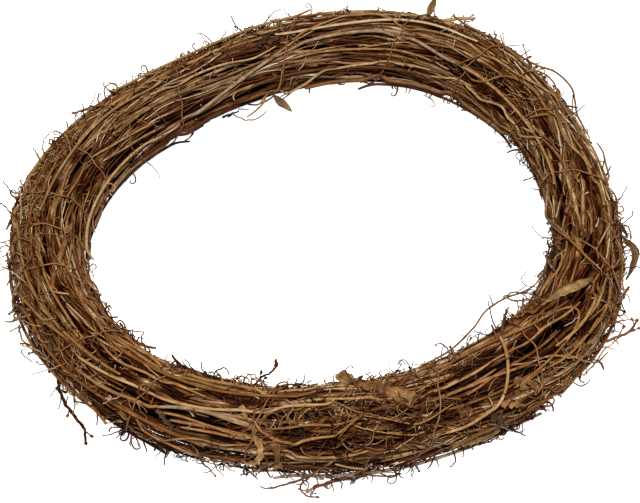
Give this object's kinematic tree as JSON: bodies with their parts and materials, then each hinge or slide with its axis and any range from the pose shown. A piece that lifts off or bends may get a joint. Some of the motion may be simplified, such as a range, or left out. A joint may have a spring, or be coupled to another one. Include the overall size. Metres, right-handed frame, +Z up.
{
  "type": "vine wreath",
  "caption": "Round open wreath of dry brown vines wound into a thick ring, tied over with thin wire, with loose canes, twigs, tendrils, leaves and bark.",
  "frame": {"origin": "middle of the wreath's bounding box at the surface it lies on", "axes": "+Z up through the wreath's open middle, +X to the right and +Y away in the picture's view"},
  "size_m": [0.3003, 0.3007, 0.0469],
  "materials": {
    "vine_dark": "dry dark bark, matte",
    "vine_brown": "dry red-brown bark, matte",
    "vine_tan": "golden tan bark with a dull sheen",
    "vine_grey": "weathered grey-brown bark, matte",
    "binding_wire": "rust-brown coated wire, dull",
    "dry_leaf": "dry pale brown leaf, matte",
    "dry_bark": "dry peeled bark, fibrous and matte"
  },
  "bodies": {
    "root": {"arc_cane": "vine_brown", "bark_curl": "dry_bark", "bark_strip": "dry_bark", "binding_wire": "binding_wire", "edge_leaf": "dry_leaf", "hairpin_cane": "vine_tan", "heart_vine_1": "vine_dark", "hole_leaf": "dry_leaf", "inner_vine_1": "vine_dark", "inner_vine_2": "vine_dark", "loop_cane": "vine_tan", "loose_cane_132_0": "vine_tan", "loose_cane_132_10": "vine_grey", "loose_cane_132_18": "vine_brown", "loose_cane_168_14": "vine_tan", "loose_cane_168_23": "vine_brown", "loose_cane_168_6": "vine_brown", "loose_cane_215_13": "vine_dark", "loose_cane_215_3": "vine_brown", "loose_cane_215_31": "vine_brown", "loose_cane_270_15": "vine_grey", "loose_cane_270_27": "vine_brown", "loose_cane_270_3": "vine_brown", "loose_cane_28_13": "vine_brown", "loose_cane_28_20": "vine_tan", "loose_cane_28_5": "vine_tan", "loose_cane_318_10": "vine_tan", "loose_cane_318_19": "vine_brown", "loose_cane_318_26": "vine_grey", "loose_cane_355_11": "vine_tan", "loose_cane_355_18": "vine_tan", "loose_cane_355_29": "vine_tan", "loose_cane_355_6": "vine_brown", "loose_cane_62_1": "vine_grey", "loose_cane_62_18": "vine_tan", "loose_cane_62_9": "vine_tan", "loose_cane_97_13": "vine_brown", "loose_cane_97_22": "vine_tan", "loose_cane_97_5": "vine_tan", "low_leaf": "dry_leaf", "middle_vine_1": "vine_brown", "middle_vine_2": "vine_brown", "middle_vine_3": "vine_brown", "narrow_leaf": "dry_leaf", "outer_vine_1": "vine_tan", "outer_vine_10": "vine_tan", "outer_vine_11": "vine_tan", "outer_vine_12": "vine_tan", "outer_vine_13": "vine_tan", "outer_vine_14": "vine_tan", "outer_vine_2": "vine_tan", "outer_vine_3": "vine_tan", "outer_vine_4": "vine_tan", "outer_vine_5": "vine_tan", "outer_vine_6": "vine_tan", "outer_vine_7": "vine_tan", "outer_vine_8": "vine_tan", "outer_vine_9": "vine_tan", "slanting_cane": "vine_tan", "top_leaf": "dry_leaf"}
  },
  "joints": []
}
